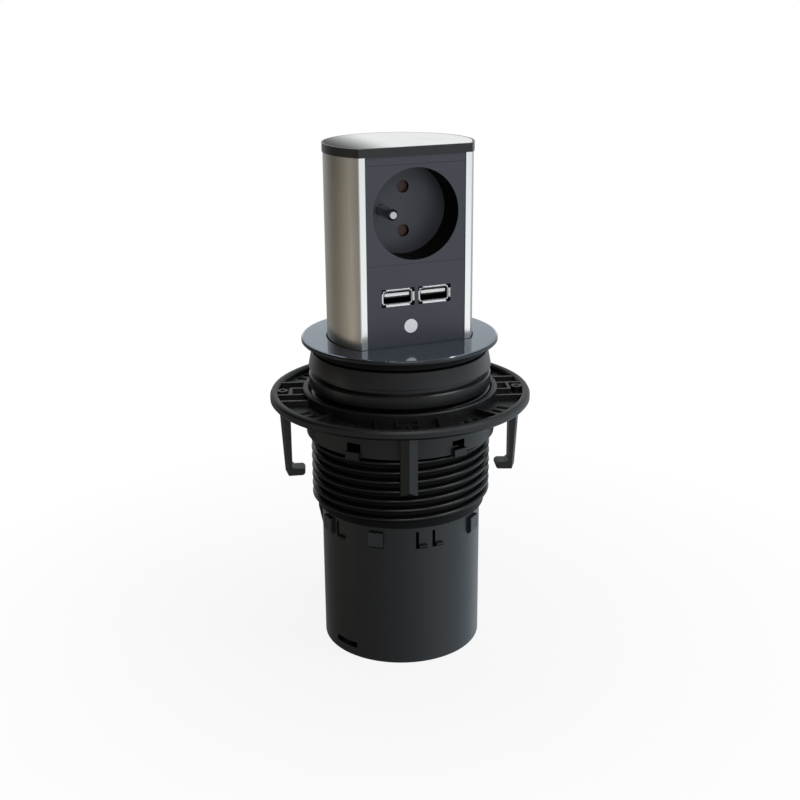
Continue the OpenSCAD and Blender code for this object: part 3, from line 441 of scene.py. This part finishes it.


# The leaf that closes the shutter is a strip along a wave: depth = half its room * (1 - cosine of the waves' turns).
leaf = {"waves": 2, "steps": 33, "thickMm": 0.35, "slideMm": 6.05}
low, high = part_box("shutter_spring")
along = np.linspace(0, 1, leaf["steps"])
deep = (1 - np.cos(2 * np.pi * leaf["waves"] * along)) / 2
nearSide = np.stack([low.x + (high.x - low.x) * along, low.y + (high.y - low.y - leaf["thickMm"] * mm) * deep], -1)
outline = np.concatenate([nearSide, nearSide[::-1] + (0, leaf["thickMm"] * mm)])
count = len(outline)
leafPoints = np.concatenate([np.column_stack([outline, np.full(count, z)]) for z in (low.z, high.z)])
spot = np.arange(count)
after = (spot + 1) % count
edges = np.stack([spot, after, after + count, spot + count], -1)
step = np.arange(leaf["steps"] - 1)
topFaces = np.stack([step, step + 1, count - 2 - step, count - 1 - step], -1) + count
leafFaces = np.concatenate([edges, topFaces, topFaces[:, ::-1] - count])
leafPiece = addMesh("bentLeaf", leafPoints.tolist(), leafFaces.tolist())
leafPiece.data.materials.append(materials["zincPlatedSteel"])
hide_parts("shutter_spring")
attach(leafPiece, "tower")
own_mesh(leafPiece)
print("stage 4: bent leaf with", len(leafFaces), "faces")


# The studio. The camera sees a pale floor and a white backdrop. Everything else is lit and mirrored by a
# surround that is bright to the right and behind, dim on the left and dark where the photographer stands.
# Each ring of the surround has stops: an angle round the object, from the face's side towards the right, and a shade.
surroundRings = {
    "under": [(-157, "#6c6c69"), (-120, "#62605c"), (-82, "#727272"), (-51, "#949494"), (-22, "#a8aaab"),
              (7, "#bdcdd8"), (38, "#deeaf4"), (66, "#dbe8ee"), (97, "#d4ecfc"), (117, "#ebf3fd"), (150, "#c8d0d6"),
              (180, "#8c9092")],
    "low": [(-164, "#9a9994"), (-139, "#84827a"), (-121, "#a6a296"), (-95, "#f0ece0"), (-60, "#a4a4a2"),
            (-22, "#a2a3a4"), (0, "#bcc2c8"), (22, "#f4f7fa"), (60, "#ecf4fa"), (100, "#e0ecf4"), (133, "#9ca4aa"),
            (165, "#8f9292"), (180, "#8c8e8e")],
    "high": [(-139, "#2e2d2b"), (-105, "#383632"), (-70, "#626262"), (-40, "#929293"), (-22, "#a0a0a1"),
             (0, "#b0b2b4"), (22, "#c8cacc"), (60, "#c0c8ce"), (105, "#dce4ea"), (145, "#ffffff"), (170, "#ffffff"),
             (185, "#d0d2d4"), (205, "#7c7e80")],
    "top": [(-139, "#32312f"), (-70, "#484848"), (-22, "#646465"), (0, "#606264"), (60, "#80868c"), (105, "#a8b2ba"),
            (148, "#bcc0c0"), (165, "#d2d6d8"), (185, "#b4b8bc"), (205, "#707274")]}
studio = {"floorMm": 4000, "floorDropMm": 0.2, "floorDark": "#eeeeee", "floorPale": "#f4f4f4", "backdrop": "#ffffff",
          "speckMm": 17, "fadeFromMm": 60, "fadeToMm": 260, "faint": 0.88, "deep": "#101011", "strength": 1.08,
          # the heights, as sines, between which each ring takes over from the one below it
          "turnsInto": {"under": (-0.85, -0.6), "low": (-0.42, -0.3), "high": (-0.26, 0.0), "top": (0.19, 0.27)},
          "aimMm": (0, 0, 120),
          "lamps": [  # place in mm, size in mm, power in W, colour
              {"place": (800, -700, 1000), "size": (700, 700), "power": 5, "colour": "#ffffff"},
              {"place": (-250, -1200, 900), "size": (900, 400), "power": 4.5, "colour": "#ffffff"}]}
scene = bpy.context.scene
half = studio["floorMm"] * mm / 2
floor = addMesh("floor", [(-half, -half, 0), (half, -half, 0), (half, half, 0), (-half, half, 0)], [(0, 1, 2, 3)])
floor.location.z = -studio["floorDropMm"] * mm
floorFinish = bpy.data.materials.new("paleFloor")
floorFinish.use_nodes = True
tree = floorFinish.node_tree
tree.nodes.clear()
place = addNode(tree, "ShaderNodeTexCoord").outputs["Object"]
speck = addNode(tree, "ShaderNodeTexNoise", {"Scale": 1 / (studio["speckMm"] * mm)}, {"Vector": place}).outputs[0]
tone = addNode(tree, "ShaderNodeMix", {6: linearColour(studio["floorDark"]), 7: linearColour(studio["floorPale"])},
               {0: speck}, data_type="RGBA")
matt = addNode(tree, "ShaderNodeBsdfDiffuse", links={"Color": tone.outputs[2]})
glow = addNode(tree, "ShaderNodeEmission", {"Color": linearColour(studio["backdrop"]), "Strength": 1.0})
away = addNode(tree, "ShaderNodeVectorMath", links={0: place}, operation="LENGTH").outputs["Value"]
share = addNode(tree, "ShaderNodeMapRange",
                {1: studio["fadeFromMm"] * mm, 2: studio["fadeToMm"] * mm, 3: studio["faint"], 4: 1.0}, {0: away})
seenFloor = addNode(tree, "ShaderNodeMixShader", links={0: share.outputs[0], 1: matt.outputs[0], 2: glow.outputs[0]})
clear = addNode(tree, "ShaderNodeBsdfTransparent")
seen = addNode(tree, "ShaderNodeLightPath").outputs["Is Camera Ray"]
mixed = addNode(tree, "ShaderNodeMixShader", links={0: seen, 1: clear.outputs[0], 2: seenFloor.outputs[0]})
addNode(tree, "ShaderNodeOutputMaterial", links={"Surface": mixed.outputs[0]})
floor.data.materials.append(floorFinish)

world = bpy.data.worlds.new("studioWorld")
scene.world = world
world.use_nodes = True
tree = world.node_tree
tree.nodes.clear()
toward = addNode(tree, "ShaderNodeTexCoord").outputs["Generated"]
around = addNode(tree, "ShaderNodeTexGradient", links={"Vector": toward}, gradient_type="RADIAL").outputs["Fac"]


def addSurround(stops):  # the radial gradient counts a full turn from the left, so a quarter is added
    node = addNode(tree, "ShaderNodeValToRGB", links={"Fac": around})
    spots = sorted(((angle / 360 + 0.25) % 1, shade) for angle, shade in stops)
    ramp = node.color_ramp
    ramp.elements[0].position, ramp.elements[-1].position = 0, 1
    for element in (ramp.elements[0], ramp.elements[-1]):
        element.color = linearColour(spots[0][1])
    for position, shade in spots[1:]:
        ramp.elements.new(position).color = linearColour(shade)
    return node.outputs["Color"]


height = addNode(tree, "ShaderNodeSeparateXYZ", links={0: toward}).outputs["Z"]
shade = addNode(tree, "ShaderNodeRGB").outputs[0]
shade.default_value = linearColour(studio["deep"])
for ring, (start, stop) in studio["turnsInto"].items():
    lift = addNode(tree, "ShaderNodeMapRange", {1: start, 2: stop}, {0: height})
    shade = addNode(tree, "ShaderNodeMix", links={0: lift.outputs[0], 6: shade, 7: addSurround(surroundRings[ring])},
                    data_type="RGBA").outputs[2]
surround = addNode(tree, "ShaderNodeBackground", {"Strength": studio["strength"]}, {"Color": shade})
backdrop = addNode(tree, "ShaderNodeBackground", {"Color": linearColour(studio["backdrop"]), "Strength": 1.0})
seen = addNode(tree, "ShaderNodeLightPath").outputs["Is Camera Ray"]
mixed = addNode(tree, "ShaderNodeMixShader", links={0: seen, 1: surround.outputs[0], 2: backdrop.outputs[0]})
addNode(tree, "ShaderNodeOutputWorld", links={"Surface": mixed.outputs[0]})

aim = Vector(studio["aimMm"]) * mm
for number, spec in enumerate(studio["lamps"]):
    light = bpy.data.lights.new(f"softbox{number}", "AREA")
    light.shape = "RECTANGLE"
    light.size, light.size_y = (v * mm for v in spec["size"])
    light.energy = spec["power"]
    light.color = linearColour(spec["colour"])[:3]
    lamp = bpy.data.objects.new(light.name, light)
    scene.collection.objects.link(lamp)
    lamp.location = Vector(spec["place"]) * mm
    lamp.rotation_euler = (aim - lamp.location).to_track_quat("-Z", "Y").to_euler()

# The camera, solved from the ellipses of the rings in the photo.
lens = {"focalPx": 1232, "widthPx": 800, "sensorMm": 36, "backMm": 533.6, "aboveRingMm": 148.5, "azimuthDeg": -22.0,
        "pitchDeg": 18.65, "rollDeg": -0.44}
cameraData = bpy.data.cameras.new("photoCamera")
cameraData.sensor_width = lens["sensorMm"]
cameraData.lens = lens["focalPx"] / lens["widthPx"] * lens["sensorMm"]
camera = bpy.data.objects.new("photoCamera", cameraData)
scene.collection.objects.link(camera)
scene.camera = camera
turn, tilt = math.radians(lens["azimuthDeg"]), math.radians(lens["pitchDeg"])
back, above = lens["backMm"] * mm, lens["aboveRingMm"] * mm
camera.location = (math.sin(turn) * back, -math.cos(turn) * back, ringTop + above)
looking = Vector((-math.sin(turn) * math.cos(tilt), math.cos(turn) * math.cos(tilt), -math.sin(tilt)))
level = looking.to_track_quat("-Z", "Y").to_matrix().to_4x4()
camera.rotation_euler = (level @ Matrix.Rotation(math.radians(lens["rollDeg"]), 4, "Z")).to_euler()

scene.render.resolution_x = scene.render.resolution_y = lens["widthPx"]
scene.view_settings.view_transform = "Standard"
scene.view_settings.look = "None"
print("stage 5: studio and camera")
